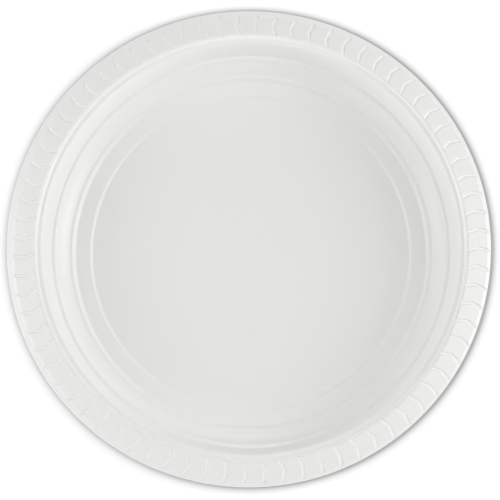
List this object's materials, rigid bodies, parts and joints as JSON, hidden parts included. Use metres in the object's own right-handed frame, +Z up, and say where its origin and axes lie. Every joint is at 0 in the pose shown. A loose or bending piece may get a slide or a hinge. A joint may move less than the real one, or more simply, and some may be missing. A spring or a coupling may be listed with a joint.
{
  "type": "disposable plate",
  "caption": "Round shallow disposable plastic plate with a stepped, ledged wall and a flat rim pressed with chevron grooves.",
  "frame": {"origin": "centre of the flat base, on the table, on the axis of the pressed shape", "axes": "+Z up out of the plate, along the axis of its rings; +X and +Y lie in the base, and the trimmed edge is a little off the axis towards -X and +Y"},
  "size_m": [0.22, 0.22, 0.0218],
  "materials": {
    "plate_plastic": "satin white polystyrene sheet"
  },
  "bodies": {
    "root": {"plate": "plate_plastic"}
  },
  "joints": []
}
